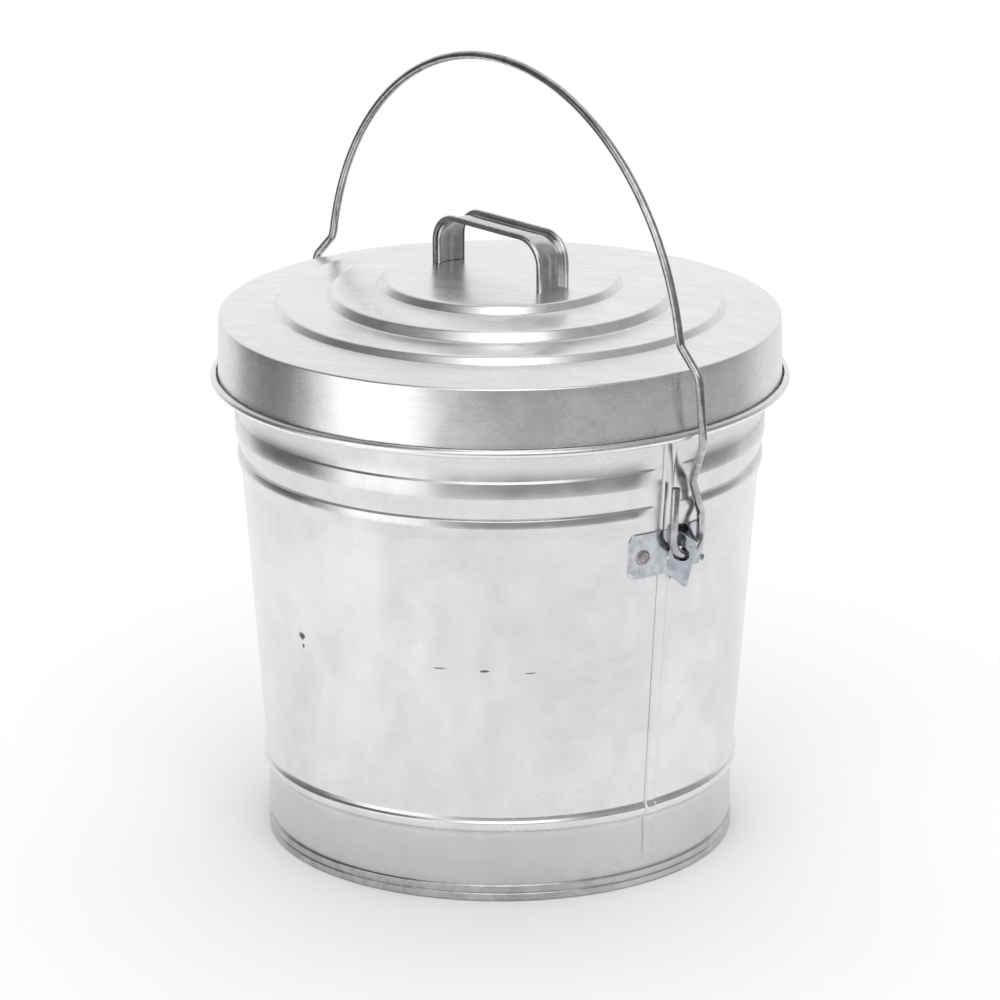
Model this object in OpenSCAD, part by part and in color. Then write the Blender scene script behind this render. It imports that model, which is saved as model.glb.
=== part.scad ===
// Tapered galvanized waste can with a stepped lid, a strap lid handle and a locking wire bail.
// Millimetres, +Z up. The origin is at the centre of the base, on the floor.
// The bail swings about an axis parallel to X, through the hooks in the two ears.

/* [Body] */
// Outer radius of the plain band above the foot
band_r = 134.8; // [128:0.2:140]
// Height of the top of the rolled rim
rim_h = 308.5; // [300:0.5:320]
// Radius that the wall gains per millimetre of height
taper = 0.0727; // [0.07:0.0005:0.075]
// Thickness of the body and lid sheet
sheet = 0.6; // [0.5:0.05:0.7]
// How far the swaged beads stand out of the wall
bead = 2.0; // [1:0.1:2.2]
// Width of the folded side seam
seam_w = 6; // [4:0.5:8]

/* [Foot] */
// Outer radius of the chime
chime_r = 135.5; // [134.9:0.1:138]
// Height of the chime
chime_h = 9.7; // [8:0.1:10]
// Height of the floor inside the can
floor_z = 8; // [5:0.5:8.5]

/* [Lid] */
// Outer radius of the lid at its top edge
lid_r = 161.1; // [161:0.1:162]
// Height of the lid's top edge
lid_h = 309.2; // [309.2:0.1:309.8]
// Radius at the bottom of the lid's skirt
skirt_r = 162.1; // [161.8:0.1:162.4]
// Height of the bottom of the lid's skirt
skirt_z = 273; // [272:0.5:276]
// Outer radius of the rolled hem's tube
hem_tube = 2.4; // [2:0.1:2.5]
// Height of the raised centre above the lid's edge
crown = 21.2; // [18:0.1:24]

/* [Lid handle] */
// Distance between the outer faces of the handle's feet
grip_span = 85; // [75:1:95]
// Height of the handle above the raised centre
grip_h = 28; // [24:1:34]
// Width of the handle strap with its edges
grip_w = 23; // [20:0.5:28]
// Thickness of the handle strap
grip_t = 1.2; // [1:0.1:1.6]

/* [Bail and ears] */
// Diameter of the bail wire
wire_d = 4.8; // [4.4:0.1:4.9]
// Radius of the bail's arch, to the middle of the wire
arch_r = 157.6; // [157:0.2:159]
// Height of the centre of the arch
arch_z = 299; // [297:0.5:302]
// Distance from the can's axis to the hook
hook_x = 154; // [153.8:0.1:154.6]
// Radius of the hook, to the middle of the wire
hook_r = 11; // [10.6:0.1:11.4]
// Height of the axis that the bail swings about
pivot_z = 211; // [210.6:0.1:211.4]
// Diameter of the hole in the ear for the hook
ear_hole = 8.8; // [8.4:0.1:9]
// Thickness of the ear sheet
ear_t = 1.2; // [1:0.1:1.3]
// Distance of the ear's outer rivet from its beak
rivet_y = 25.8; // [24:0.2:28]
// Distance of the rivet in the ear's short wing from its beak
rivet_short = 14.4; // [14:0.2:15]

/* [Hidden] */
$fn = 96;
galvanized = [0.80, 0.81, 0.82];
bright = [0.86, 0.87, 0.88];
tiny = 0.01;

// Body outline
shoulder_z = 51.6;                                  // where the plain taper starts
shoulder_r = band_r + 1.4;
function wall_r(z) = shoulder_r + taper * (z - shoulder_z);
curl_tube = 3.2;                                    // outer radius of the rolled rim's tube
curl_z = rim_h - curl_tube;
curl_c = wall_r(curl_z) - sheet + curl_tube;        // radius of the rolled rim's centre line
tuck_r = chime_r - 1.4;                             // where the wall's foot enters the chime
channel = 1.2;                                      // thickness of the chime's folded sheet
chime_in = chime_r - 3.6;
upper_bead = [232.5, 243.5, 251.8, 252.9];          // foot, face bottom, face top, top corner
lower_bead = [218.0, 226.2, 229.6, 230.5];

function bead_points(z) = [
    [wall_r(z[0]), z[0]],
    [wall_r(z[1]) + bead, z[1]],
    [wall_r(z[2]) + bead, z[2]],
    [wall_r(z[3]), z[3]]
];
wall = concat(
    [
        [tuck_r, channel + 0.1], [tuck_r, chime_h + 0.6], [band_r, chime_h + 2], [band_r, 40.5],
        [band_r + 2.2, 43.6], [band_r + 2.8, 45.7], [band_r + 2.2, 47.8], [shoulder_r, shoulder_z]
    ],
    bead_points(lower_bead), bead_points(upper_bead),
    [[wall_r(curl_z), curl_z]]
);
function inward(points, dr) = [for (i = [len(points) - 1:-1:0]) [points[i].x - dr, points[i].y]];

// Lid outline, from the foot of the skirt to the centre
edge_round = 1.6;
lid_steps = [
    [lid_r - 31.7, lid_h + 4.0], [lid_r - 34.6, lid_h + 8.4],
    [lid_r - 61.6, lid_h + 8.4], [lid_r - 64.8, lid_h + 14.3],
    [lid_r - 90.9, lid_h + 16.6], [lid_r - 94.0, lid_h + crown]
];
lid_corner = [for (a = [0:22.5:90])
    [lid_r - edge_round + edge_round * cos(a), lid_h - edge_round + edge_round * sin(a)]];
lid_top = concat(lid_corner, lid_steps, [[0, lid_h + crown]]);
lid_under = [for (p = lid_top) [max(0, p.x - sheet), p.y - sheet]];
plateau_z = lid_h + crown;
hem_c = [skirt_r + hem_tube - sheet, skirt_z];

// Lid handle
edge_w = 2.5;                                       // width of each raised edge
edge_rise = 3.5;                                    // how far the edges stand above the strap
grip_round = 14;
slot_gap = 0.1;
tab = 9;                                            // length of the foot turned under the lid

// Ears
ear_wing = 13.7;                                    // reach of the ear's long wing, degrees round the can
ear_short = 8;                                      // reach of its short wing
ear_top = 215.5;
ear_foot = 188.9;
beak_tip = [163, 208.5];                            // ridge of the beak: distance out and height
beak_toe = [154, 180];
beak_base = [6, 8.5];                               // half width of the beak, at its top and foot
rivet_z = 201.3;
rivet_d = 4;
function rivet_turn(end) = end * asin((end < 0 ? rivet_y : rivet_short) / wall_r(rivet_z));

// Bail
arch_end = asin(28 / arch_r);                       // where the arch meets the legs, degrees
arch_turn = -3;                                     // the arch stands a little askew to the ears
leg_x = 172;                                        // the legs pass the lid's hem here
jog_x = 156;
tail_z = 241;
function turned(p, a) = [p.x * cos(a) - p.y * sin(a), p.x * sin(a) + p.y * cos(a), p.z];
leg_points = [
    turned([arch_r * cos(arch_end), 0, arch_z + arch_r * sin(arch_end)], arch_turn),
    turned([arch_r - 1, 0, arch_z + 23], arch_turn),
    turned([leg_x, 0, arch_z + 8.5], arch_turn),
    turned([leg_x, 0, arch_z - 31], 0.6 * arch_turn),
    [jog_x, 2, arch_z - 56],
    [hook_x, hook_r, pivot_z + hook_r],
    [hook_x, hook_r, pivot_z - hook_r],
    [hook_x, -hook_r, pivot_z - hook_r],
    [hook_x + 2.5, -hook_r, tail_z]
];
hook_bend = hook_r - 1;                             // leaves a short straight under the hook
leg_bends = [0, 5, 10, 14, 12, 8, hook_bend, hook_bend, 0];

function unit(v) = v / norm(v);
function bend_angle(a, b, c) = acos(min(1, unit(b - a) * unit(c - b)));
function bend_reach(p, r, i) =
    i == 0 || i == len(p) - 1 ? 0 : r[i] * tan(bend_angle(p[i - 1], p[i], p[i + 1]) / 2);

// A straight rod between two points
module rod(a, b, d) {
    v = b - a;
    translate(a) rotate([0, acos(v.z / norm(v)), atan2(v.y, v.x)])
        cylinder(h = norm(v), d = d, $fn = 32);
}

// One bend of a wire that turns from direction v to direction w at corner b
module bend(b, v, w, r, reach, d) {
    angle = acos(min(1, v * w));
    n = unit(cross(v, w));
    u = -cross(n, v);
    start = b - v * reach;
    centre = start - u * r;
    multmatrix([
        [u.x, v.x, n.x, centre.x],
        [u.y, v.y, n.y, centre.y],
        [u.z, v.z, n.z, centre.z]
    ])
        rotate_extrude(angle = angle, $fn = 96) translate([r, 0]) circle(d = d, $fn = 32);
}

// Wire through the points p, bent to the radius r[i] at each. The straight lengths are a hair
// thinner than the bends and run a little way into them.
module wire(p, r, d) {
    lap = 0.5;
    thinner = 0.12;
    for (i = [0:len(p) - 2]) {
        v = unit(p[i + 1] - p[i]);
        a = p[i] + v * (bend_reach(p, r, i) - lap);
        b = p[i + 1] - v * (bend_reach(p, r, i + 1) - lap);
        rod(a, b, d - thinner);
        if (i > 0) bend(p[i], unit(p[i] - p[i - 1]), v, r[i], bend_reach(p, r, i), d);
    }
}

module body_shell() {
    color(galvanized) {
        difference() {
            union() {
                rotate_extrude() polygon(concat(wall, inward(wall, sheet)));
                rotate([0, 0, -4.2 - seam_angle() / 2])
                    rotate_extrude(angle = seam_angle()) polygon([
                        [band_r - sheet - 0.7, 12], [band_r - sheet + tiny, 12],
                        [band_r - sheet + tiny, 40], [wall_r(60) - sheet + tiny, 60],
                        [wall_r(296) - sheet + tiny, 296], [wall_r(296) - sheet - 0.7, 296],
                        [wall_r(60) - sheet - 0.7, 60], [band_r - sheet - 0.7, 40]
                    ]);
            }
            rivet_holes();
        }
        rotate_extrude() translate([curl_c, curl_z]) difference() {
            circle(r = curl_tube, $fn = 48);
            circle(r = curl_tube - sheet, $fn = 48);
        }
    }
}
function seam_angle() = seam_w / wall_r(150) * 180 / PI;

module rim_wire() {
    color(bright) rotate_extrude() translate([curl_c, curl_z])
        circle(r = curl_tube - sheet, $fn = 48);
}

// Domed disc whose edge is folded into the channel that grips the wall's foot
module bottom_pan() {
    color(galvanized) rotate_extrude() polygon([
        [0, floor_z - 0.8], [chime_in, floor_z - 0.8], [chime_in, 0], [chime_r, 0],
        [chime_r, chime_h], [tuck_r + 0.1, chime_h], [tuck_r + 0.1, channel],
        [chime_in + channel, channel], [chime_in + channel, floor_z], [0, floor_z]
    ]);
}

// Places its children on the wall at the four rivets; side 1 is +X and -1 is -X
module at_rivet(side, end) {
    rotate([0, 0, (side > 0 ? 0 : 180) + rivet_turn(end)])
        translate([wall_r(rivet_z), 0, rivet_z])
            rotate([0, 90 + atan(taper), 0]) children();
}

module rivet_holes() {
    for (side = [1, -1], end = [-1, 1])
        at_rivet(side, end) translate([0, 0, -8]) cylinder(h = 16, d = rivet_d, $fn = 32);
}

// A plate between four corners, one face of the beak
module beak_face(y) {
    hull() {
        translate([wall_r(ear_top) + ear_t / 2, y * beak_base[0], ear_top - 0.5])
            sphere(d = ear_t, $fn = 16);
        translate([beak_tip[0], 0, beak_tip[1]]) sphere(d = ear_t, $fn = 16);
        translate([beak_toe[0], 0, beak_toe[1]]) sphere(d = ear_t, $fn = 16);
        translate([wall_r(ear_foot) + ear_t / 2, y * beak_base[1], ear_foot + 0.5])
            sphere(d = ear_t, $fn = 16);
    }
}

module ear() {
    low = ear_foot;
    color(galvanized) difference() {
        union() {
            difference() {
                rotate([0, 0, -ear_wing]) rotate_extrude(angle = ear_wing + ear_short) polygon([
                    [wall_r(low), low], [wall_r(low) + ear_t, low],
                    [wall_r(ear_top) + ear_t, ear_top], [wall_r(ear_top), ear_top]
                ]);
                translate([wall_r(low) - 5, -beak_base[0], low - 1])
                    cube([14, 2 * beak_base[0], ear_top - low + 2]);
            }
            beak_face(1);
            beak_face(-1);
        }
        translate([hook_x, -20, pivot_z - hook_r + 0.7]) rotate([-90, 0, 0])
            cylinder(h = 40, d = ear_hole, $fn = 48);
        for (end = [-1, 1])
            at_rivet(1, end) translate([0, 0, -8]) cylinder(h = 16, d = rivet_d, $fn = 32);
    }
}

module ear_right() {
    ear();
}

module ear_left() {
    rotate([0, 0, 180]) ear();
}

// Flat-bodied rivet with a low round head outside and a hammered head inside
module rivet() {
    head = [4.6, 1.5];
    gap = 0.06;                                     // the flat inner head clears the curved wall
    color(bright) {
        translate([0, 0, ear_t]) rotate_extrude($fn = 48) polygon([
            [0, 0], [head[0], 0], [head[0], 0.5], [head[0] - 1.4, head[1] - 0.3], [0, head[1]]
        ]);
        translate([0, 0, -sheet - 2 * gap]) cylinder(h = ear_t + sheet + 2 * gap + tiny, d = rivet_d - gap, $fn = 32);
        translate([0, 0, -sheet - gap - 1.2]) cylinder(h = 1.2, r = 3.4, $fn = 48);
    }
}

module rivet_right_front() { at_rivet(1, -1) rivet(); }
module rivet_right_rear() { at_rivet(1, 1) rivet(); }
module rivet_left_front() { at_rivet(-1, 1) rivet(); }
module rivet_left_rear() { at_rivet(-1, -1) rivet(); }

module lid_pan() {
    color(galvanized) difference() {
        union() {
            rotate_extrude() polygon(concat(
                [[skirt_r, skirt_z]], lid_top,
                [for (i = [len(lid_under) - 1:-1:0]) lid_under[i]],
                [[skirt_r - sheet, skirt_z]]
            ));
            rotate_extrude() translate(hem_c) difference() {
                circle(r = hem_tube, $fn = 32);
                circle(r = hem_tube - sheet, $fn = 32);
            }
        }
        for (side = [1, -1])
            translate([side * (grip_span - grip_t) / 2, 0, plateau_z])
                cube([grip_t + 2 * slot_gap, grip_w - 2 * edge_w + 2 * slot_gap, 10], center = true);
    }
}

// Outline of the strap seen from the side, as a solid arch w wide and h high
module arch_outline(w, h, r) {
    difference() {
        union() {
            translate([-w / 2, 0]) square([w, h - r]);
            translate([-w / 2 + r, 0]) square([w - 2 * r, h]);
            for (side = [1, -1]) translate([side * (w / 2 - r), h - r]) circle(r = r, $fn = 64);
        }
        translate([-w, -2 * r]) square([2 * w, 2 * r]);
    }
}

// Length w of the strap's outline along Y, from outer beyond its face to inner behind it
module strap(outer, inner, y, w) {
    translate([0, y + w / 2, plateau_z]) rotate([90, 0, 0]) linear_extrude(w) difference() {
        arch_outline(grip_span + 2 * outer, grip_h + outer, grip_round + outer);
        translate([0, -tiny]) arch_outline(
            grip_span - 2 * inner, grip_h - inner + tiny, grip_round - inner);
    }
}

module lid_handle() {
    web = grip_w - 2 * edge_w;
    foot = sheet + grip_t;
    color(bright) {
        strap(0, grip_t, 0, grip_w);
        for (side = [1, -1]) {
            strap(edge_rise, grip_t / 2, side * (grip_w - grip_t) / 2, grip_t);
            translate([side * (grip_span - grip_t) / 2, 0, plateau_z - foot / 2])
                cube([grip_t, web, foot + tiny], center = true);
            translate([side * (grip_span - tab) / 2, 0, plateau_z - sheet - grip_t / 2])
                cube([tab, web, grip_t], center = true);
        }
    }
}

module bail() {
    color(bright) {
        translate([0, 0, arch_z]) rotate([90, 0, arch_turn]) rotate([0, 0, arch_end])
            rotate_extrude(angle = 180 - 2 * arch_end, $fn = 180)
                translate([arch_r, 0]) circle(d = wire_d, $fn = 32);
        for (turn = [0, 180]) rotate([0, 0, turn]) wire(leg_points, leg_bends, wire_d);
    }
}

body_shell();
rim_wire();
bottom_pan();
ear_right();
ear_left();
rivet_right_front();
rivet_right_rear();
rivet_left_front();
rivet_left_rear();
lid_pan();
lid_handle();
bail();
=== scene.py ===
import math
import bpy
from mathutils import Matrix, Vector, noise


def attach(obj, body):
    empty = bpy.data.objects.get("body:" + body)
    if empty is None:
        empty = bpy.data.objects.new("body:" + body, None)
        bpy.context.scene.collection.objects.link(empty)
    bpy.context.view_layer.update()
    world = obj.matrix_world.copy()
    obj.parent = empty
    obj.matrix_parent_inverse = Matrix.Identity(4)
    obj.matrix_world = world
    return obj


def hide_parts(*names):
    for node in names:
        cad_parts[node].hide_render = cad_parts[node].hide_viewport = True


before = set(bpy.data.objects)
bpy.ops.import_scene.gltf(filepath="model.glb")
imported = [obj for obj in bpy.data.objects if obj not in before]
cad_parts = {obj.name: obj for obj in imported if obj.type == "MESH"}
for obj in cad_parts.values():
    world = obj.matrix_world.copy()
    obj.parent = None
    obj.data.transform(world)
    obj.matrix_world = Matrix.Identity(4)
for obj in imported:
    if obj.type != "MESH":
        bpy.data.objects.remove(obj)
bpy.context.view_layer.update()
bpy.ops.object.select_all(action="DESELECT")
mm = 0.001
print("frame loaded")

# Sizes that several pieces share
can = {
    "taper": 0.0727,  # radius that the wall gains for each unit of height
    "shoulderR": 136.2 * mm,
    "shoulderZ": 51.6 * mm,
    "sheet": 0.6 * mm,
    "seamAt": -4.2,  # degrees round the can
    "bandR": 134.8 * mm,
}


def wallR(z):
    return can["shoulderR"] + can["taper"] * (z - can["shoulderZ"])


def ease(low, high, value):
    t = min(1, max(0, (value - low) / (high - low)))
    return t * t * (3 - 2 * t)


def arc(cx, cy, r, start, end, step=15):
    count = max(2, round(abs(end - start) / step))
    angles = [math.radians(start + (end - start) * i / count) for i in range(count + 1)]
    return [(cx + r * math.cos(a), cy + r * math.sin(a)) for a in angles]


def rounded(corners, step=15):
    # corners are (x, y, radius); each is replaced by an arc that meets both sides
    points = [corners[0][:2]]
    for before, corner, after in zip(corners, corners[1:], corners[2:]):
        c, r = Vector(corner[:2]), corner[2]
        a = (Vector(before[:2]) - c).normalized()
        b = (Vector(after[:2]) - c).normalized()
        half = a.angle(b) / 2
        if r == 0 or half > math.radians(89):
            points.append(tuple(c))
            continue
        reach = r / math.tan(half)
        centre = c + (a + b).normalized() * r / math.sin(half)
        u, v = c + a * reach - centre, c + b * reach - centre
        turn = math.atan2(u.cross(v), u.dot(v))
        count = max(2, round(math.degrees(abs(turn)) / step))
        for i in range(count + 1):
            points.append(tuple(centre + Matrix.Rotation(turn * i / count, 2) @ u))
    points.append(corners[-1][:2])
    return points


def divided(points, longest):
    # puts extra points on the straight stretches that are longer than this
    out = [points[0]]
    for a, b in zip(points, points[1:]):
        count = max(1, math.ceil((Vector(b) - Vector(a)).length / longest))
        out += [tuple(Vector(a).lerp(Vector(b), i / count)) for i in range(1, count + 1)]
    return out


def edit(piece):
    bpy.ops.object.select_all(action="DESELECT")
    bpy.context.view_layer.objects.active = piece
    piece.select_set(True)
    bpy.ops.object.mode_set(mode="EDIT")


def done():
    bpy.ops.object.mode_set(mode="OBJECT")


def point(name, place):
    # a plane merged to one vertex, ready to be extruded into an outline
    bpy.ops.mesh.primitive_plane_add(size=mm, location=place)
    piece = bpy.context.object
    piece.name = piece.data.name = name
    bpy.ops.object.transform_apply(location=True)
    edit(piece)
    bpy.ops.mesh.select_all(action="SELECT")
    bpy.ops.mesh.merge(type="CENTER")
    return piece


def drawLine(places):
    for a, b in zip(places, places[1:]):
        bpy.ops.mesh.extrude_vertices_move(TRANSFORM_OT_translate={"value": Vector(b) - Vector(a)})
    bpy.ops.mesh.select_all(action="SELECT")


def turned(name, outline, zones):
    # outline is (radius, height); zones are (degrees, steps) of each stretch of the turn
    places = [(r, 0, z) for r, z in outline]
    piece = point(name, places[0])
    drawLine(places)
    for degrees, steps in zones:
        bpy.ops.mesh.spin(steps=steps, angle=math.radians(degrees), center=(0, 0, 0), axis=(0, 0, 1))
    clean()
    return piece


def clean():
    bpy.ops.mesh.select_all(action="SELECT")
    bpy.ops.mesh.remove_doubles(threshold=0.005 * mm)
    bpy.ops.mesh.dissolve_degenerate(threshold=0.001 * mm)
    bpy.ops.mesh.select_all(action="SELECT")
    bpy.ops.mesh.normals_make_consistent(inside=False)
    done()


def flipIf(piece, outward):
    # turns all faces over if the vertex furthest outward looks inward
    vertex = max(piece.data.vertices, key=lambda v: v.co.dot(outward))
    if vertex.normal.dot(outward) < 0:
        edit(piece)
        bpy.ops.mesh.select_all(action="SELECT")
        bpy.ops.mesh.flip_normals()
        done()


def reshape(piece, rule):
    for vertex in piece.data.vertices:
        vertex.co = rule(vertex.co)
    piece.data.update()


def useModifier(piece, kind, **values):
    bpy.ops.object.select_all(action="DESELECT")
    bpy.context.view_layer.objects.active = piece
    piece.select_set(True)
    modifier = piece.modifiers.new(kind, kind)
    for key, value in values.items():
        setattr(modifier, key, value)
    bpy.ops.object.modifier_apply(modifier=modifier.name)


def softenEdges(piece, width, segments, degrees):
    useModifier(piece, "BEVEL", width=width, segments=segments,
                limit_method="ANGLE", angle_limit=math.radians(degrees))


def shade(piece, degrees=35):
    bpy.ops.object.select_all(action="DESELECT")
    bpy.context.view_layer.objects.active = piece
    piece.select_set(True)
    bpy.ops.object.shade_smooth_by_angle(angle=math.radians(degrees))


def moved(piece, matrix):
    piece.data.transform(matrix)
    piece.data.update()


def twin(piece, name, matrix):
    other = piece.copy()
    other.data = piece.data.copy()
    other.name = other.data.name = name
    bpy.context.scene.collection.objects.link(other)
    moved(other, matrix)
    return other


def polar(co):
    return math.hypot(co.x, co.y), math.degrees(math.atan2(co.y, co.x))


def fromSeam(azimuth):
    return (azimuth - can["seamAt"] + 180) % 360 - 180


def atRadius(co, r):
    return Vector((co.x, co.y, 0)).normalized() * r + Vector((0, 0, co.z))


def newGroup(name, inputs, outputs):
    group = bpy.data.node_groups.new(name, "ShaderNodeTree")
    for label, kind, value in inputs:
        group.interface.new_socket(label, in_out="INPUT", socket_type=kind).default_value = value
    for label, kind in outputs:
        group.interface.new_socket(label, in_out="OUTPUT", socket_type=kind)
    return group, group.nodes.new("NodeGroupInput").outputs, group.nodes.new("NodeGroupOutput").inputs


def feed(tree, source, target):
    if hasattr(source, "is_output"):
        tree.links.new(source, target)
    else:
        target.default_value = source


def maths(tree, operation, *values):
    node = tree.nodes.new("ShaderNodeMath")
    node.operation = operation
    for value, socket in zip(values, node.inputs):
        feed(tree, value, socket)
    return node.outputs[0]


def ranged(tree, value, fromLow, fromHigh, low, high):
    node = tree.nodes.new("ShaderNodeMapRange")
    node.interpolation_type = "SMOOTHSTEP"
    for source, name in zip(
        (value, fromLow, fromHigh, low, high), ("Value", "From Min", "From Max", "To Min", "To Max")
    ):
        feed(tree, source, node.inputs[name])
    return node.outputs["Result"]


def stretched(tree, scale, turn=(0, 0, 0)):
    place = tree.nodes.new("ShaderNodeTexCoord").outputs["Object"]
    node = tree.nodes.new("ShaderNodeMapping")
    node.inputs["Scale"].default_value = scale
    node.inputs["Rotation"].default_value = [math.radians(a) for a in turn]
    tree.links.new(place, node.inputs["Vector"])
    return node.outputs[0]


def clouds(tree, vector, scale, detail, roughness=0.5, distortion=0.0):
    node = tree.nodes.new("ShaderNodeTexNoise")
    for name, value in (
        ("Vector", vector), ("Scale", scale), ("Detail", detail),
        ("Roughness", roughness), ("Distortion", distortion),
    ):
        feed(tree, value, node.inputs[name])
    return node.outputs["Fac"]


def tinted(tree, factor, colourA, colourB):
    node = tree.nodes.new("ShaderNodeMix")
    node.data_type = "RGBA"
    feed(tree, factor, node.inputs["Factor"])
    feed(tree, colourA, node.inputs["A"])
    feed(tree, colourB, node.inputs["B"])
    return node.outputs["Result"]


def zincGroup():
    # cloudy tone of a hot-dip coating
    group, given, result = newGroup(
        "zincClouds", [("Cloud", "NodeSocketFloat", 14.0)], [("Tone", "NodeSocketFloat")]
    )
    coords = stretched(group, (1, 1, 0.8))
    large = clouds(group, coords, given["Cloud"], 4, 0.62, 0.6)
    small = clouds(group, coords, maths(group, "MULTIPLY", given["Cloud"], 6.0), 3, 0.55, 0.3)
    tone = maths(group, "ADD", maths(group, "MULTIPLY", large, 0.7), maths(group, "MULTIPLY", small, 0.3))
    group.links.new(ranged(group, tone, 0.34, 0.66, 0.0, 1.0), result["Tone"])
    return group


def rollGroup():
    # fine parallel marks of the rolling mill, long along the group's Y after the turn
    group, given, result = newGroup(
        "rollMarks",
        [("Turn", "NodeSocketVector", (0, 0, 0)), ("Fineness", "NodeSocketFloat", 1.0)],
        [("Marks", "NodeSocketFloat"), ("Broad", "NodeSocketFloat")],
    )
    place = group.nodes.new("ShaderNodeTexCoord").outputs["Object"]
    turn = group.nodes.new("ShaderNodeMapping")
    feed(group, place, turn.inputs["Vector"])
    feed(group, given["Turn"], turn.inputs["Rotation"])
    squeeze = group.nodes.new("ShaderNodeMapping")
    squeeze.inputs["Scale"].default_value = (900, 14, 900)
    feed(group, turn.outputs[0], squeeze.inputs["Vector"])
    fine = clouds(group, squeeze.outputs[0], given["Fineness"], 3, 0.6)
    wide = group.nodes.new("ShaderNodeMapping")
    wide.inputs["Scale"].default_value = (260, 9, 260)
    feed(group, turn.outputs[0], wide.inputs["Vector"])
    broad = clouds(group, wide.outputs[0], given["Fineness"], 2, 0.5)
    group.links.new(ranged(group, fine, 0.3, 0.7, 0.0, 1.0), result["Marks"])
    group.links.new(ranged(group, broad, 0.35, 0.65, 0.0, 1.0), result["Broad"])
    return group


def scuffGroup():
    # a patch of small dark specks at one place, Size across
    group, given, result = newGroup(
        "scuff",
        [("Place", "NodeSocketVector", (0, 0, 0)), ("Size", "NodeSocketVector", (0.01, 0.01, 0.01)),
         ("Share", "NodeSocketFloat", 0.5)],
        [("Mask", "NodeSocketFloat")],
    )
    place = group.nodes.new("ShaderNodeTexCoord").outputs["Object"]
    away = group.nodes.new("ShaderNodeVectorMath")
    away.operation = "SUBTRACT"
    feed(group, place, away.inputs[0])
    feed(group, given["Place"], away.inputs[1])
    scaled = group.nodes.new("ShaderNodeVectorMath")
    scaled.operation = "DIVIDE"
    feed(group, away.outputs[0], scaled.inputs[0])
    feed(group, given["Size"], scaled.inputs[1])
    length = group.nodes.new("ShaderNodeVectorMath")
    length.operation = "LENGTH"
    feed(group, scaled.outputs[0], length.inputs[0])
    near = ranged(group, length.outputs["Value"], 0.2, 1.0, 1.0, 0.0)
    specks = clouds(group, scaled.outputs[0], 3.4, 4, 0.7, 0.8)
    level = maths(group, "ADD", maths(group, "MULTIPLY", near, given["Share"]), specks)
    group.links.new(ranged(group, level, 0.86, 0.94, 0.0, 1.0), result["Mask"])
    return group


def wearAndHighlightGroup():
    # rubbed outer edges, brightened as wear and, along the ear's ridge, as a painted highlight; and painted
    # shade darkening the creases
    group, given, result = newGroup(
        "edgeWearAndHighlight",
        [("Low", "NodeSocketFloat", 0.52), ("High", "NodeSocketFloat", 0.6)],
        [("Mask", "NodeSocketFloat"), ("PaintedCreaseShade", "NodeSocketFloat")],
    )
    pointiness = group.nodes.new("ShaderNodeNewGeometry").outputs["Pointiness"]
    # brighter where pointiness is high: worn edges, and a painted highlight along ridges
    rubbedAndHighlit = ranged(group, pointiness, given["Low"], given["High"], 0.0, 1.0)
    place = stretched(group, (1, 1, 1))
    broken = clouds(group, place, 130.0, 3, 0.6)
    # painted shade: creases, where pointiness is low, are darkened
    group.links.new(ranged(group, pointiness, 0.4, 0.49, 1.0, 0.0), result["PaintedCreaseShade"])
    group.links.new(
        maths(group, "MULTIPLY", rubbedAndHighlit, ranged(group, broken, 0.3, 0.6, 0.2, 1.0)), result["Mask"]
    )
    return group


def dustGroup():
    # thin film that settles on faces that look up
    group, given, result = newGroup(
        "dustFilm", [("Amount", "NodeSocketFloat", 0.5)], [("Mask", "NodeSocketFloat")]
    )
    normal = group.nodes.new("ShaderNodeSeparateXYZ")
    feed(group, group.nodes.new("ShaderNodeNewGeometry").outputs["Normal"], normal.inputs[0])
    upward = ranged(group, normal.outputs["Z"], 0.2, 1.0, 0.25, 1.0)
    grains = clouds(group, stretched(group, (1, 1, 1)), 46.0, 5, 0.7)
    mask = maths(group, "MULTIPLY", upward, ranged(group, grains, 0.38, 0.72, 0.0, 1.0))
    group.links.new(maths(group, "MULTIPLY", mask, given["Amount"]), result["Mask"])
    return group


groups = {
    "zinc": zincGroup(),
    "roll": rollGroup(),
    "scuff": scuffGroup(),
    "wearAndHighlight": wearAndHighlightGroup(),
    "dust": dustGroup(),
}
print("node groups built")


def useGroup(tree, name, **values):
    node = tree.nodes.new("ShaderNodeGroup")
    node.node_tree = groups[name]
    for key, value in values.items():
        node.inputs[key].default_value = value
    return node.outputs


marks = {  # what every finish shares: the colours of its marks, and how strongly they show
    "film": (0.62, 0.62, 0.63, 1), "filmRough": 0.2,
    # colour of the painted shade in creases
    "paintedCreaseShade": (0.09, 0.09, 0.1, 1),
    "scuff": (0.05, 0.05, 0.055, 1), "scuffShare": 0.85, "scuffRough": 0.3,
    # share and span of the edge brightening: wear and painted highlight
    "wornAndHighlightShare": 0.7, "wornAndHighlightSpan": 0.08,
    # colour and share of the painted shade at the body's foot
    "paintedFootShade": (0.44, 0.44, 0.455, 1), "paintedFootShadeShare": 0.42,
    "bumpDistance": 0.01 * mm,
}


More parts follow.
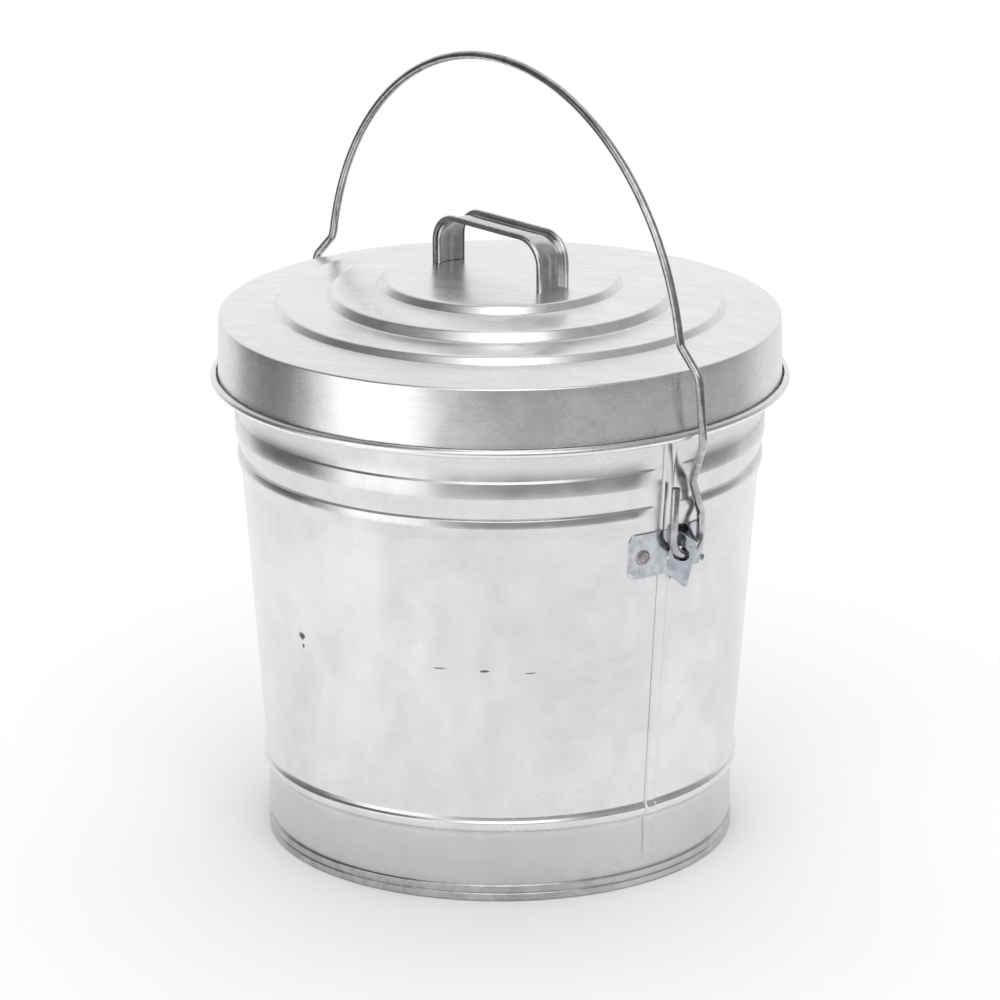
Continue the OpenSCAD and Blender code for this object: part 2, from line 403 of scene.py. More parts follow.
def metal(name, look):
    # one galvanized finish; the look dictionary says how it differs from the others
    material = bpy.data.materials.new(name)
    material.use_nodes = True
    tree = material.node_tree
    shader = tree.nodes["Principled BSDF"]
    shader.inputs["Metallic"].default_value = 1.0
    zinc = useGroup(tree, "zinc", Cloud=look["cloud"])
    roll = useGroup(tree, "roll", Turn=[math.radians(a) for a in look["turn"]], Fineness=look["fineness"])
    colour = tinted(tree, zinc["Tone"], look["dark"], look["light"])
    streak = maths(tree, "MULTIPLY", roll["Broad"], look["streak"])
    colour = tinted(tree, streak, colour, look["streakColour"])
    wearAndHighlight = useGroup(tree, "wearAndHighlight", Low=look["wearAndHighlightFrom"], High=look["wearAndHighlightFrom"] + marks["wornAndHighlightSpan"])
    # brightened edges: partly wear, partly painted highlight
    wornAndHighlight = maths(tree, "MULTIPLY", wearAndHighlight["Mask"], marks["wornAndHighlightShare"])
    colour = tinted(tree, wornAndHighlight, colour, look["wornAndHighlightColour"])
    # painted shade darkens the creases
    colour = tinted(tree, maths(tree, "MULTIPLY", wearAndHighlight["PaintedCreaseShade"], look["paintedCreaseShade"]), colour, marks["paintedCreaseShade"])
    rough = maths(tree, "ADD", look["rough"], maths(tree, "MULTIPLY", zinc["Tone"], look["roughSpread"]))
    rough = maths(tree, "ADD", rough, maths(tree, "MULTIPLY", roll["Marks"], look["roughSpread"] * 0.5))
    dust = useGroup(tree, "dust", Amount=look["dust"])
    colour = tinted(tree, dust["Mask"], colour, marks["film"])
    rough = maths(tree, "ADD", rough, maths(tree, "MULTIPLY", dust["Mask"], marks["filmRough"]))
    for spot in look.get("scuffs", []):
        scuff = useGroup(tree, "scuff", Place=spot["at"], Size=spot["size"], Share=spot["share"])
        dark = maths(tree, "MULTIPLY", scuff["Mask"], marks["scuffShare"])
        colour = tinted(tree, dark, colour, marks["scuff"])
        rough = maths(tree, "ADD", rough, maths(tree, "MULTIPLY", scuff["Mask"], marks["scuffRough"]))
    # painted shade: the body darkens below the top of its foot band
    if "paintedFootShade" in look:
        parts = tree.nodes.new("ShaderNodeSeparateXYZ")
        feed(tree, tree.nodes.new("ShaderNodeTexCoord").outputs["Object"], parts.inputs[0])
        paintedFootShadeMask = ranged(tree, parts.outputs["Z"], *look["paintedFootShade"], marks["paintedFootShadeShare"], 0.0)
        colour = tinted(tree, paintedFootShadeMask, colour, marks["paintedFootShade"])
    tree.links.new(colour, shader.inputs["Base Color"])
    tree.links.new(rough, shader.inputs["Roughness"])
    height = maths(tree, "MULTIPLY", roll["Marks"], look["markHeight"])
    bump = tree.nodes.new("ShaderNodeBump")
    bump.inputs["Strength"].default_value = 1.0
    bump.inputs["Distance"].default_value = marks["bumpDistance"]
    tree.links.new(height, bump.inputs["Height"])
    tree.links.new(bump.outputs["Normal"], shader.inputs["Normal"])
    return material


def wallSpot(azimuth, z, width, height, share):
    a, r = math.radians(azimuth), wallR(z)
    return {"at": (r * math.cos(a), r * math.sin(a), z), "size": (width, width, height), "share": share}


plainSheet = {
    "dark": (0.66, 0.66, 0.665, 1), "light": (0.82, 0.82, 0.815, 1),
    "streakColour": (0.77, 0.775, 0.78, 1), "wornAndHighlightColour": (0.88, 0.88, 0.87, 1),
    "cloud": 11.0, "turn": (0, 0, 0), "fineness": 1.0,
    "streak": 0.25, "wearAndHighlightFrom": 0.6, "rough": 0.17, "roughSpread": 0.08,
    "dust": 0.06, "markHeight": 0.2, "paintedCreaseShade": 0.8,
}
# the body's foot is darkened with painted shade
bodySheet = dict(plainSheet, turn=(0, 90, 0), paintedFootShade=(0.037, 0.043), scuffs=[
    wallSpot(-93.9, 0.1433, 5.5 * mm, 4.5 * mm, 0.56),
    wallSpot(-93.6, 0.1375, 3 * mm, 3.5 * mm, 0.5),
    wallSpot(-56.0, 0.1412, 9 * mm, 1.1 * mm, 0.5),
    wallSpot(-45.9, 0.1406, 6 * mm, 1.6 * mm, 0.56),
    wallSpot(-35.8, 0.1391, 8 * mm, 0.9 * mm, 0.5),
])
lidSheet = dict(plainSheet, turn=(0, 0, 62), streak=0.4, rough=0.22, roughSpread=0.08, dust=0.1,
                markHeight=0.5, streakColour=(0.76, 0.77, 0.78, 1),
                dark=(0.85, 0.855, 0.865, 1), light=(0.93, 0.93, 0.93, 1))
strapMetal = dict(plainSheet, rough=0.1, roughSpread=0.05, cloud=40.0, dust=0.0, turn=(0, 0, 90),
                  wearAndHighlightFrom=0.53, dark=(0.46, 0.47, 0.48, 1), light=(0.74, 0.745, 0.75, 1))
# the ear's lower threshold brightens its ridge: a painted highlight
earMetal = dict(strapMetal, rough=0.12, wearAndHighlightFrom=0.51,
                dark=(0.28, 0.30, 0.34, 1), light=(0.55, 0.57, 0.60, 1))
chimeSheet = dict(plainSheet, dark=(0.36, 0.36, 0.37, 1), light=(0.58, 0.58, 0.58, 1))
wireMetal = dict(plainSheet, rough=0.07, roughSpread=0.05, cloud=60.0, dust=0.0, markHeight=0.0,
                 wearAndHighlightFrom=0.9, dark=(0.26, 0.26, 0.27, 1), light=(0.52, 0.52, 0.53, 1))
rivetMetal = dict(plainSheet, rough=0.3, roughSpread=0.15, cloud=160.0, dust=0.0,
                  wearAndHighlightFrom=0.9, dark=(0.22, 0.18, 0.19, 1), light=(0.50, 0.45, 0.46, 1))
finish = {
    "body": metal("galvanizedBody", bodySheet),
    "chime": metal("galvanizedChime", chimeSheet),
    "lid": metal("galvanizedLid", lidSheet),
    "strap": metal("brightStrap", strapMetal),
    "ear": metal("galvanizedEar", earMetal),
    "wire": metal("drawnWire", wireMetal),
    "rivet": metal("rivetMetal", rivetMetal),
}
print("materials built")


def settle(piece, material, body, slot, *nodes):
    piece.data.materials.clear()
    piece.data.materials.append(material)
    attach(piece, body)
    if nodes:
        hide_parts(*nodes)
    return piece


wallShape = {
    "tuckR": 134.1 * mm, "footZ": 1.3 * mm, "chimeTop": 10.3 * mm,
    # height and how far out of the band, mm
    "lowBead": [(40.5, 0.0), (42.6, 1.3), (44.2, 2.7), (47.6, 3.0), (48.8, 1.9), (51.0, 1.25)],
    "beads": [[218.0, 225.6, 229.9, 230.9], [232.5, 243.3, 251.9, 253.2]],
    "beadOut": 2.0 * mm, "beadTip": 1.75 * mm,
    "curlR": 2.6 * mm, "curlZ": 305.3 * mm,
    "seamHalf": 3.0 * mm, "seamProud": 0.6 * mm, "seamGroove": 0.9 * mm,
    "seamFoot": (12 * mm, 15 * mm), "seamHead": (292 * mm, 298 * mm),
    "grooves": [(-3.5 * mm, 0.45 * mm, 1.0), (3.4 * mm, 0.4 * mm, 0.7)],  # place, width, share of the depth
    "pinch": 0.8, "pinchZ": 238 * mm, "pinchSpread": 9 * mm,  # the seam stands prouder between the beads
    "beadEnds": (2.6, 9.5),  # degrees from the seam where the beads start and are full
    "dent": 0.1 * mm, "dentFrom": (54 * mm, 80 * mm),
}


def wallOutline():
    s = wallShape
    corners = [(s["tuckR"], s["footZ"], 0), (s["tuckR"], s["chimeTop"], 0.6 * mm),
               (can["bandR"], 12.2 * mm, 1.0 * mm)]
    corners += [(can["bandR"] + out * mm, z * mm, 0.7 * mm) for z, out in s["lowBead"]]
    for foot, faceLow, faceTop, top in s["beads"]:
        corners += [(wallR(foot * mm), foot * mm, 3.0 * mm),
                    (wallR(faceLow * mm) + s["beadOut"], faceLow * mm, 2.5 * mm),
                    (wallR(faceLow * mm) + s["beadTip"], faceTop * mm, 0.5 * mm),
                    (wallR(top * mm), top * mm, 0.5 * mm)]
    # the wall runs into the curl, whose inner line keeps clear of the wire
    curlC = wallR(s["curlZ"]) + s["curlR"]
    curl = arc(curlC, s["curlZ"], s["curlR"], 180, -150, 18)
    return divided(rounded(corners + [(*curl[0], 0)], 22), 9 * mm) + curl[1:]


def shapeWall(co):
    s = wallShape
    r, azimuth = polar(co)
    z = co.z
    away = fromSeam(azimuth)
    across = math.radians(away) * r
    low = s["beads"][0][0] * mm
    top = s["beads"][-1][3] * mm
    if low < z < top + 0.1 * mm:
        r = wallR(z) + (r - wallR(z)) * ease(*s["beadEnds"], abs(away))
    if s["seamFoot"][0] < z < s["seamHead"][1]:
        ends = ease(*s["seamFoot"], z) * (1 - ease(*s["seamHead"], z))
        ridge = 1 - ease(s["seamHalf"] - 0.5 * mm, s["seamHalf"] + 0.1 * mm, abs(across))
        groove = sum(share * math.exp(-((across - at) / wide) ** 2) for at, wide, share in s["grooves"])
        proud = 1 + s["pinch"] * math.exp(-((z - s["pinchZ"]) / s["pinchSpread"]) ** 2)
        r += (ridge * s["seamProud"] * proud - groove * s["seamGroove"]) * ends
        wave = noise.noise(Vector((co.x * 11, co.y * 11, z * 9)))
        r += s["dent"] * wave * ease(*s["dentFrom"], z) * ends
    return atRadius(co, r)


# degrees and steps of each stretch of the turn, finest across the seam
seamZones = [(3.6, 26), (9.0, 22), (171.0, 104), (167.4, 102), (9.0, 22)]
wall = turned("bodyShell", wallOutline(), seamZones)
moved(wall, Matrix.Rotation(math.radians(can["seamAt"] - seamZones[0][0] / 2), 4, "Z"))
flipIf(wall, Vector((0, 1, -0.01)))
reshape(wall, shapeWall)
useModifier(wall, "SOLIDIFY", thickness=can["sheet"], offset=-1, use_even_offset=True)
shade(wall, 40)
settle(wall, finish["body"], "can", "galvanized_sheet", "body_shell")
print("body wall", len(wall.data.polygons))

panShape = {
    "corners": [  # radius, height, corner radius, mm
        (0, 7.2, 0), (60, 7.2, 4), (64, 5.8, 4), (118, 5.8, 4), (122, 7.2, 3),
        (131.9, 7.2, 1.2), (131.9, 0.3, 0.6), (132.3, 0, 0.4), (134.7, 0, 0.6), (135.6, 0.9, 0.8),
        (135.6, 4.2, 0.5), (135.0, 4.9, 0.4), (135.7, 5.6, 0.6), (135.6, 9.0, 0.8), (134.9, 9.9, 0.4),
        (134.15, 9.8, 0.1), (134.15, 1.2, 0), (133.1, 1.2, 0), (133.1, 8, 0.8), (122, 8, 3),
        (118, 6.6, 4), (64, 6.6, 4), (60, 8, 4), (0, 8, 0)],
    "third": (120, 96),  # degrees and steps of each third of the turn
}
panLine = rounded([(r * mm, z * mm, c * mm) for r, z, c in panShape["corners"]], 22)
pan = turned("bottomPan", divided(panLine, 12 * mm), [panShape["third"]] * 3)
flipIf(pan, Vector((1, 0, 0)))
shade(pan, 35)
settle(pan, finish["chime"], "can", "galvanized_sheet", "bottom_pan")
print("bottom pan", len(pan.data.polygons))

earShape = {
    "long": 13.7, "short": 8.0,  # degrees round the can that each wing reaches from the beak
    "top": 215.5 * mm, "foot": 188.9 * mm, "thick": 1.2 * mm,
    "tip": Vector((163.0, 0, 208.5)) * mm, "toe": Vector((154.0, 0, 180.0)) * mm,
    "baseTop": 6.0 * mm, "baseFoot": 8.5 * mm, "corner": 4.5 * mm,
    "hole": 4.4 * mm, "holeX": 154.0 * mm, "holeZ": 200.7 * mm,
    "across": 88, "up": 30,  # faces of the flat grid that is bent into the ear
    "beakShare": 0.5, "fold": 0.16,
}


def earPlace(u, v):
    # u runs across from -1 to 1 and v up from 0 to 1
    s = earShape
    z = s["foot"] + (s["top"] - s["foot"]) * v
    base = s["baseFoot"] + (s["baseTop"] - s["baseFoot"]) * v
    side = math.copysign(1, u)
    if abs(u) <= s["beakShare"]:
        ridge = s["toe"].lerp(s["tip"], v)
        r = wallR(z) + s["thick"]
        edge = Vector((math.sqrt(r * r - base * base), side * base, z))
        # the ridge is a soft fold: the way out eases off beside it
        t, fold = abs(u) / s["beakShare"], s["fold"]
        eased = (math.hypot(t, fold) - fold) / (math.hypot(1, fold) - fold)
        place = ridge.lerp(edge, eased)
        return Vector((place.x, edge.y * t, place.z))
    t = (abs(u) - s["beakShare"]) / (1 - s["beakShare"])
    widest = math.radians(s["long"] if u < 0 else s["short"]) * (wallR(z) + s["thick"])
    y = base + (widest - base) * t
    short = max(0, y - (widest - s["corner"]))
    drop = s["corner"] - math.sqrt(max(0, s["corner"] ** 2 - short ** 2))
    z = min(max(z, s["foot"] + drop), s["top"] - drop)
    r = wallR(z) + s["thick"]
    a = side * y / r
    return Vector((r * math.cos(a), r * math.sin(a), z))


def makeEar(name):
    s = earShape
    bpy.ops.mesh.primitive_grid_add(x_subdivisions=s["across"], y_subdivisions=s["up"], size=2)
    ear = bpy.context.object
    ear.name = ear.data.name = name
    reshape(ear, lambda co: earPlace(co.x, (co.y + 1) / 2))
    edit(ear)
    clean()
    flipIf(ear, Vector((1, 0, 0)))
    useModifier(ear, "SOLIDIFY", thickness=s["thick"], offset=-1)
    bpy.ops.mesh.primitive_cylinder_add(
        vertices=64, radius=s["hole"], depth=40 * mm,
        location=(s["holeX"], 0, s["holeZ"]), rotation=(math.pi / 2, 0, 0))
    drill = bpy.context.object
    useModifier(ear, "BOOLEAN", object=drill, operation="DIFFERENCE", solver="EXACT")
    bpy.data.objects.remove(drill)
    softenEdges(ear, 0.22 * mm, 2, 50)
    shade(ear, 32)
    return ear


halfTurn = Matrix.Rotation(math.pi, 4, "Z")
earRight = makeEar("earRight")
earLeft = twin(earRight, "earLeft", halfTurn)
settle(earRight, finish["ear"], "can", "galvanized_strap", "ear_right")
settle(earLeft, finish["ear"], "can", "galvanized_strap", "ear_left")
print("ears", len(earRight.data.polygons))

rivetShape = {
    "long": 25.8 * mm, "short": 14.4 * mm, "z": 201.3 * mm,
    "hammered": 0.1 * mm, "hammeredFrom": 0.2 * mm,
    "outline": [  # radius, height over the ear, corner radius, mm
        (0, 1.5, 0), (1.7, 1.45, 0.3), (2.3, 0.95, 0.3), (2.9, 1.25, 0.4), (4.3, 0.75, 0.5), (4.6, 0, 0),
        (2.0, 0, 0), (2.0, -1.85, 0), (3.4, -1.85, 0.2), (3.2, -2.9, 0.5), (0, -3.1, 0)],
}


def makeRivet(name, side, end):
    s = rivetShape
    rivet = turned(name, rounded([(r * mm, z * mm, c * mm) for r, z, c in s["outline"]], 20), [(360, 48)])
    flipIf(rivet, Vector((0.2, 0, 1)))

    def hammered(co):
        if co.z <= s["hammeredFrom"]:
            return co
        return co + Vector((0, 0, s["hammered"] * noise.noise(co * 900 + Vector((side, end, 0)) * 7)))

    reshape(rivet, hammered)
    reach = s["long"] if end < 0 else s["short"]
    azimuth = math.asin(reach / wallR(s["z"])) * end + (0 if side > 0 else math.pi)
    lean = math.pi / 2 + math.atan(can["taper"])
    moved(rivet, Matrix.Rotation(azimuth, 4, "Z") @ Matrix.Translation((wallR(s["z"]), 0, s["z"]))
          @ Matrix.Rotation(lean, 4, "Y") @ Matrix.Translation((0, 0, earShape["thick"])))
    shade(rivet, 40)
    return rivet


for pieceName, node, side, end in (
    ("rivetRightFront", "rivet_right_front", 1, -1), ("rivetRightRear", "rivet_right_rear", 1, 1),
    ("rivetLeftFront", "rivet_left_front", -1, 1), ("rivetLeftRear", "rivet_left_rear", -1, -1),
):
    settle(makeRivet(pieceName, side, end), finish["rivet"], "can", "rivet_metal", node)
print("rivets")

lidShape = {
    "edgeR": 161.1 * mm, "edgeZ": 309.2 * mm, "plateau": 330.4 * mm,
    "steps": [(67.1, 330.4, 2.0), (70.2, 325.8, 1.6), (96.3, 323.5, 2.0), (99.5, 317.6, 1.8),
              (126.5, 317.6, 2.0), (129.4, 313.2, 1.8)],  # radius, height, corner radius, mm
    "skirtR": 162.1 * mm, "skirtZ": 273.0 * mm, "hemLine": 1.8 * mm, "hemEnd": 468,  # degrees round the hem
    "ragged": 0.35 * mm,
    "dimples": [(86.0 * mm, -100.2), (86.0 * mm, -6.2), (86.0 * mm, 73.7)],  # radius and azimuth
    "dimpleR": 2.6 * mm, "dimpleDeep": 0.55 * mm,
    "wave": 0.12 * mm, "waveFrom": (6 * mm, 40 * mm),
    "slotX": 41.9 * mm, "slot": (1.5 * mm, 18.6 * mm, 8 * mm),
    "turnFrom": -108.2, "coarse": 1.3, "fine": (8, 30),  # degrees a step; degrees and steps at a dimple
}


def lidOutline():
    s = lidShape
    corners = [(0, s["plateau"], 0)]
    corners += [(r * mm, z * mm, c * mm) for r, z, c in s["steps"]]
    corners += [(s["edgeR"], s["edgeZ"], 1.6 * mm), (s["skirtR"], s["skirtZ"], 0)]
    hemC = s["skirtR"] + s["hemLine"]
    hem = arc(hemC, s["skirtZ"], s["hemLine"], 180, s["hemEnd"], 16)
    line = divided(rounded(corners, 12), 6 * mm) + hem[1:]
    close = [p for p in line if 80 * mm < p[0] < 92 * mm]
    cut = line.index(close[0])
    return line[:cut] + divided(close, 0.9 * mm) + line[cut + len(close):]


def shapeLid(co):
    s = lidShape
    r, azimuth = polar(co)
    z = co.z
    if z > s["edgeZ"] - 3 * mm:
        for dimpleR, at in s["dimples"]:
            a = math.radians(at)
            gap = math.hypot(co.x - dimpleR * math.cos(a), co.y - dimpleR * math.sin(a))
            z -= s["dimpleDeep"] * (1 - ease(0, s["dimpleR"], gap))
        z += s["wave"] * noise.noise(Vector((co.x * 16, co.y * 16, 2.0))) * ease(*s["waveFrom"], r)
        return Vector((co.x, co.y, z))
    hemC = s["skirtR"] + s["hemLine"]
    turn = math.degrees(math.atan2(z - s["skirtZ"], r - hemC))
    if r > hemC - 1.2 * mm and z < s["skirtZ"] + 2.5 * mm and 20 < turn < 120:
        a = math.radians(azimuth)
        rag = noise.noise(Vector((math.cos(a) * 9, math.sin(a) * 9, 5.0)))
        rag += 0.6 * noise.noise(Vector((math.cos(a) * 31, math.sin(a) * 31, 9.0)))
        weight = ease(20, 110, turn)
        r += s["ragged"] * rag * weight
        z -= s["ragged"] * 0.7 * abs(rag) * weight
    return atRadius(Vector((co.x, co.y, z)), r)


def lidZones():
    # coarse stretches of the turn with a fine one at each dimple
    s = lidShape
    zones, turnedTo = [], s["turnFrom"]
    for dimpleR, at in s["dimples"]:
        coarse = at - s["fine"][0] / 2 - turnedTo
        zones += [(coarse, round(coarse / s["coarse"])), s["fine"]]
        turnedTo = at + s["fine"][0] / 2
    rest = s["turnFrom"] + 360 - turnedTo
    return zones + [(rest, round(rest / s["coarse"]))]


lid = turned("lidPan", lidOutline(), lidZones())
moved(lid, Matrix.Rotation(math.radians(lidShape["turnFrom"]), 4, "Z"))
flipIf(lid, Vector((0, 0, 1)))
reshape(lid, shapeLid)
useModifier(lid, "SOLIDIFY", thickness=can["sheet"], offset=-1, use_even_offset=True)
for side in (1, -1):
    bpy.ops.mesh.primitive_cube_add(size=1, location=(side * lidShape["slotX"], 0, lidShape["plateau"]))
    slotTool = bpy.context.object
    moved(slotTool, Matrix.Diagonal((*lidShape["slot"], 1)))
    useModifier(lid, "BOOLEAN", object=slotTool, operation="DIFFERENCE", solver="EXACT")
    bpy.data.objects.remove(slotTool)
shade(lid, 35)
settle(lid, finish["lid"], "lid", "galvanized_sheet", "lid_pan")
print("lid", len(lid.data.polygons))

gripShape = {
    "half": 42.5 * mm, "high": 28.0 * mm, "round": 14.0 * mm, "thick": 0.8 * mm,
    "web": 8.4 * mm, "crown": 1.3 * mm, "edge": 11.5 * mm, "rise": 3.4 * mm,
    "through": 1.0 * mm, "tabBend": (0.5 * mm, 0.4 * mm), "tab": 9.0 * mm,
}


def gripOutline():
    # half of the strap's section as (distance from the middle, height over the web's edge)
    s = gripShape
    crown = [(s["web"] * i / 6, s["crown"] * math.cos(math.pi / 2 * i / 6)) for i in range(6)]
    over = (s["edge"] - s["web"] - 0.3 * mm) / 2
    half = crown + rounded([
        (s["web"] - 0.5 * mm, 0.03 * mm, 0), (s["web"] + 0.3 * mm, 0, 0.55 * mm),
        (s["web"] + 0.3 * mm, s["rise"] - over, 0)], 22)
    half += arc(s["edge"] - over, s["rise"] - over, over, 180, 0, 22)[1:] + [(s["edge"], 0.35 * mm)]
    return [(-y, n) for y, n in reversed(half[1:])] + half


def makeGrip():
    s = gripShape
    base = lidShape["plateau"]
    section = [(s["half"] + n, y, base) for y, n in gripOutline()]
    piece = point("lidHandle", section[0])
    drawLine(section)
    straight = s["high"] - s["round"]
    across = 2 * (s["half"] - s["round"])
    corner = Vector((s["half"] - s["round"], 0, base + straight))
    bpy.ops.mesh.extrude_edges_move(TRANSFORM_OT_translate={"value": (0, 0, straight)})
    bpy.ops.mesh.spin(steps=16, angle=math.radians(90), center=corner, axis=(0, 1, 0))
    for step in range(6):
        bpy.ops.mesh.extrude_edges_move(TRANSFORM_OT_translate={"value": (-across / 6, 0, 0)})
    bpy.ops.mesh.spin(steps=16, angle=math.radians(90), center=corner * Vector((-1, 1, 1)), axis=(0, 1, 0))
    bpy.ops.mesh.extrude_edges_move(TRANSFORM_OT_translate={"value": (0, 0, -straight)})
    clean()
    return piece


grip = makeGrip()
print("grip box", [round(x / mm, 1) for x in grip.dimensions])
flipIf(grip, Vector((0, 0, 1)))


def footEdges(piece, side):
    # the web's end edges on one side of the handle, between the raised edges
    edit(piece)
    bpy.ops.mesh.select_mode(type="EDGE")
    bpy.ops.mesh.select_all(action="DESELECT")
    done()
    points = piece.data.vertices
    for e in piece.data.edges:
        a, b = (points[i].co for i in e.vertices)
        low = max(a.z, b.z) < lidShape["plateau"] + 0.05 * mm
        e.select = low and max(abs(a.y), abs(b.y)) < gripShape["web"] and a.x * side > 0
    edit(piece)


for side in (1, -1):
    # each end goes down through its slot and turns in under the lid
    footEdges(grip, side)
    inward, down = gripShape["tabBend"]
    for step in ((0, 0, -gripShape["through"]), (-inward * side, 0, -down), (-gripShape["tab"] * side, 0, 0)):
        bpy.ops.mesh.extrude_edges_move(TRANSFORM_OT_translate={"value": step})
    done()
useModifier(grip, "SOLIDIFY", thickness=gripShape["thick"], offset=-1, use_even_offset=True)
softenEdges(grip, 0.15 * mm, 2, 60)
shade(grip, 35)
settle(grip, finish["strap"], "lid", "galvanized_strap", "lid_handle")
print("lid handle", len(grip.data.polygons))

bailShape = {
    "wire": 4.8 * mm, "archR": 157.6, "archZ": 299.0, "archEnd": math.degrees(math.asin(28 / 157.6)),
    "turn": -3,  # degrees that the arch stands askew to the ears
    # each corner of one leg, from the arch to the hook's tail, mm; its share of the turn; its bend
    "leg": [((156.6, 0, 322), 1, 5), ((172, 0, 307.5), 1, 10), ((172, 0, 268), 0.6, 14),
            ((156, 2, 243), 0, 12), ((154, 11, 222), 0, 8), ((154, 11, 200), 0, 10.8),
            ((154, -11, 200), 0, 10.8), ((156.5, -11, 241), 0, 0)],
}


def askew(p, share):
    return Matrix.Rotation(math.radians(bailShape["turn"] * share), 3, "Z") @ Vector(p)


def legPath():
    s = bailShape
    end = math.radians(s["archEnd"])
    start = askew((s["archR"] * math.cos(end), 0, s["archZ"] + s["archR"] * math.sin(end)), 1)
    corners = [start] + [askew(p, share) for p, share, bend in s["leg"]]
    path = [start]
    for before, c, after, (p, share, r) in zip(corners, corners[1:], corners[2:], s["leg"]):
        a, b = (before - c).normalized(), (after - c).normalized()
        half = a.angle(b) / 2
        centre = c + (a + b).normalized() * r / math.sin(half)
        u = c + a * r / math.tan(half) - centre
        turn = math.pi - 2 * half
        axis = a.cross(b).normalized()
        count = max(3, round(math.degrees(turn) / 7))
        path += [centre + Matrix.Rotation(-turn * i / count, 3, axis) @ u for i in range(count + 1)]
    return path + [corners[-1]]


def makeBail():
    s = bailShape
    leg = legPath()
    arch = [askew((x, 0, s["archZ"] + z), 1) for x, z in
            arc(0, 0, s["archR"], s["archEnd"], 180 - s["archEnd"], 2)]
    far = [Vector((-p.x, -p.y, p.z)) for p in leg]
    path = list(reversed(leg)) + arch[1:-1] + far
    curve = bpy.data.curves.new("bailPath", "CURVE")
    curve.dimensions = "3D"
    curve.bevel_depth = s["wire"] / 2
    curve.bevel_resolution = 8
    curve.use_fill_caps = True
    spline = curve.splines.new("POLY")
    spline.points.add(len(path) - 1)
    for place, p in zip(spline.points, path):
        place.co = (*(p * mm), 1)
    bail = bpy.data.objects.new("bail", curve)
    bpy.context.scene.collection.objects.link(bail)
    bpy.ops.object.select_all(action="DESELECT")
    bpy.context.view_layer.objects.active = bail
    bail.select_set(True)
    bpy.ops.object.convert(target="MESH")
    bail = bpy.context.object
    bail.name = bail.data.name = "bailWire"
    edit(bail)
    clean()
    softenEdges(bail, 0.35 * mm, 3, 60)
    shade(bail, 50)
    return bail


bail = makeBail()
settle(bail, finish["wire"], "bail", "galvanized_wire", "bail")
print("bail", len(bail.data.polygons))

# The wire inside the rolled rim keeps its CAD shape
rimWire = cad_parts["rim_wire"]
rimWire.data.materials.clear()
rimWire.data.materials.append(finish["wire"])

studio = {
    "floorR": 0.9,
    "sun": 1.35, "sunSpread": 100,
    "camera": (2.918, 1.1118),  # distance from the can's axis, and height
    "azimuth": -42.5, "pitch": 17.43, "lens": 190.1,
}
cameraAt = math.radians(studio["azimuth"])


def plainWhite():
    material = bpy.data.materials.new("paleFloor")
    material.use_nodes = True
    shader = material.node_tree.nodes["Principled BSDF"]
    shader.inputs["Base Color"].default_value = (0.93, 0.925, 0.94, 1)
    shader.inputs["Roughness"].default_value = 0.9
    return material


bpy.ops.mesh.primitive_circle_add(vertices=128, radius=studio["floorR"], fill_type="NGON")
floor = bpy.context.object
floor.name = "floor"
floor.data.materials.append(plainWhite())


def ramp(tree, value, stops):
    # stops are (position, brightness) with position in degrees, from -180 to 180
    node = tree.nodes.new("ShaderNodeValToRGB")
    node.color_ramp.interpolation = "EASE"
    elements = node.color_ramp.elements
    while len(elements) < len(stops):
        elements.new(0.5)
    for element, (at, level) in zip(elements, stops):
        element.position = (at + 180) / 360
        element.color = (level / 2, level / 2, level / 2, 1)
    feed(tree, maths(tree, "ADD", maths(tree, "DIVIDE", value, 360.0), 0.5), node.inputs[0])
    return maths(tree, "MULTIPLY", node.outputs[0], 2.0)


room = {  # degrees round from the camera, and the brightness there
    "low": [(-180, 0.95), (-140, 0.9), (-124, 0.26), (-108, 0.13), (-90, 0.16), (-76, 0.75),
            (-66, 1.4), (-36, 1.35), (-22, 0.45), (0, 0.34), (45, 0.3), (70, 0.24), (77, 0.5),
            (84, 0.22), (110, 0.34), (135, 0.8), (180, 0.95)],
    "high": [(-180, 0.9), (-130, 0.6), (-100, 0.14), (-60, 0.14), (-35, 0.8), (-15, 1.6),
             (30, 1.6), (48, 0.35), (110, 0.4), (150, 0.9), (180, 0.9)],
    "change": (15.0, 38.0),  # degrees up where the one gives way to the other
}


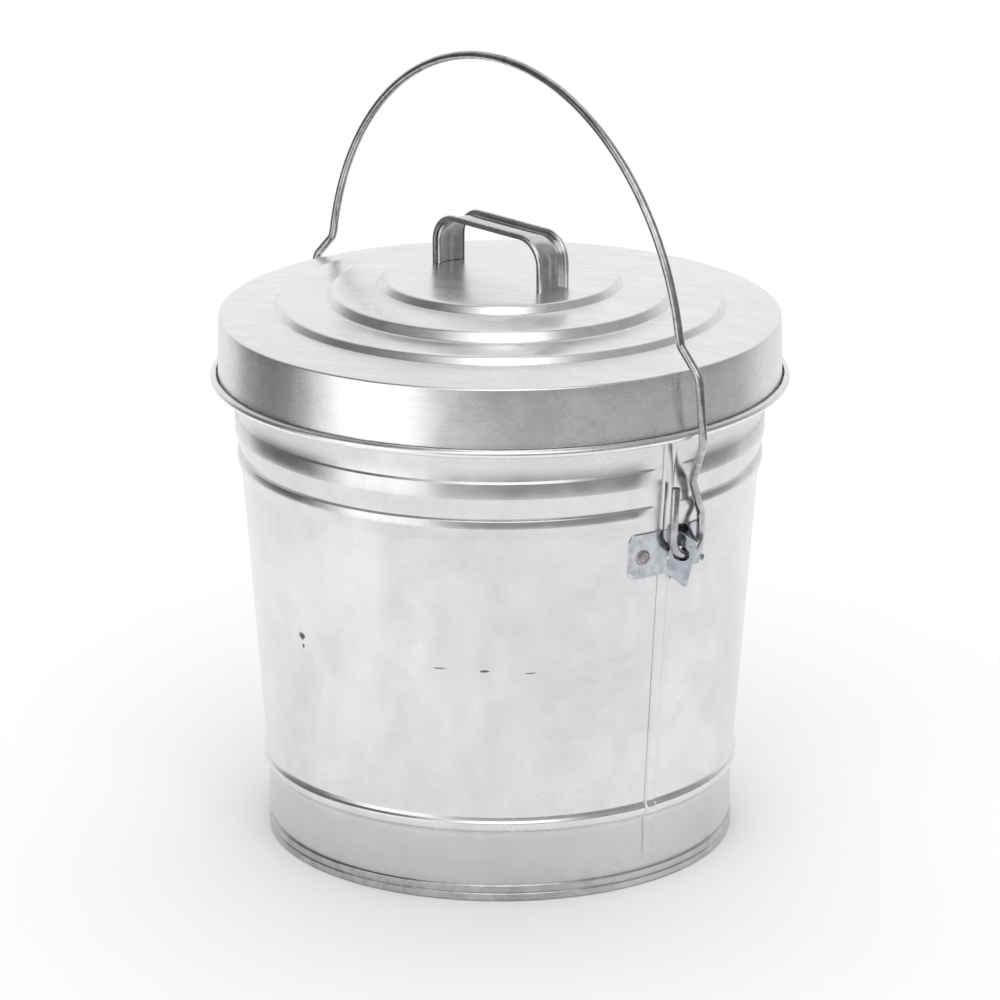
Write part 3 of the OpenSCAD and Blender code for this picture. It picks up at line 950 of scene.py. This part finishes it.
def studioWorld():
    # the room round the table: the brightness that shines on the metal, by direction from the can
    world = bpy.data.worlds.new("studio")
    bpy.context.scene.world = world
    world.use_nodes = True
    tree = world.node_tree
    turn = tree.nodes.new("ShaderNodeVectorRotate")
    turn.rotation_type = "Z_AXIS"
    turn.inputs["Angle"].default_value = -cameraAt
    feed(tree, tree.nodes.new("ShaderNodeTexCoord").outputs["Generated"], turn.inputs["Vector"])
    xyz = tree.nodes.new("ShaderNodeSeparateXYZ")
    feed(tree, turn.outputs[0], xyz.inputs[0])
    around = maths(tree, "DEGREES", maths(tree, "ARCTAN2", xyz.outputs["Y"], xyz.outputs["X"]))
    above = maths(tree, "DEGREES", maths(tree, "ARCSINE", xyz.outputs["Z"]))
    low = ramp(tree, around, room["low"])
    high = ramp(tree, around, room["high"])
    mix = tree.nodes.new("ShaderNodeMix")
    feed(tree, ranged(tree, above, *room["change"], 0.0, 1.0), mix.inputs["Factor"])
    feed(tree, low, mix.inputs["A"])
    feed(tree, high, mix.inputs["B"])
    seen = tree.nodes.new("ShaderNodeLightPath").outputs["Is Camera Ray"]
    shine = tree.nodes.new("ShaderNodeMix")
    feed(tree, seen, shine.inputs["Factor"])
    feed(tree, mix.outputs["Result"], shine.inputs["A"])
    feed(tree, 1.0, shine.inputs["B"])
    feed(tree, shine.outputs["Result"], tree.nodes["Background"].inputs["Strength"])
    tree.nodes["Background"].inputs["Color"].default_value = (1, 1, 1, 1)


def softSun():
    light = bpy.data.lights.new("overhead", "SUN")
    light.energy = studio["sun"]
    light.angle = math.radians(studio["sunSpread"])
    lamp = bpy.data.objects.new("overhead", light)
    lamp.visible_glossy = False
    bpy.context.scene.collection.objects.link(lamp)


def addCamera():
    distance, height = studio["camera"]
    bpy.ops.object.camera_add(
        location=(distance * math.cos(cameraAt), distance * math.sin(cameraAt), height),
        rotation=(math.radians(90 - studio["pitch"]), 0, cameraAt + math.pi / 2))
    camera = bpy.context.object
    camera.data.lens = studio["lens"]
    camera.data.sensor_width = 36
    bpy.context.scene.camera = camera


studioWorld()
softSun()
addCamera()
bpy.context.scene.view_settings.view_transform = "Standard"
print("studio set")
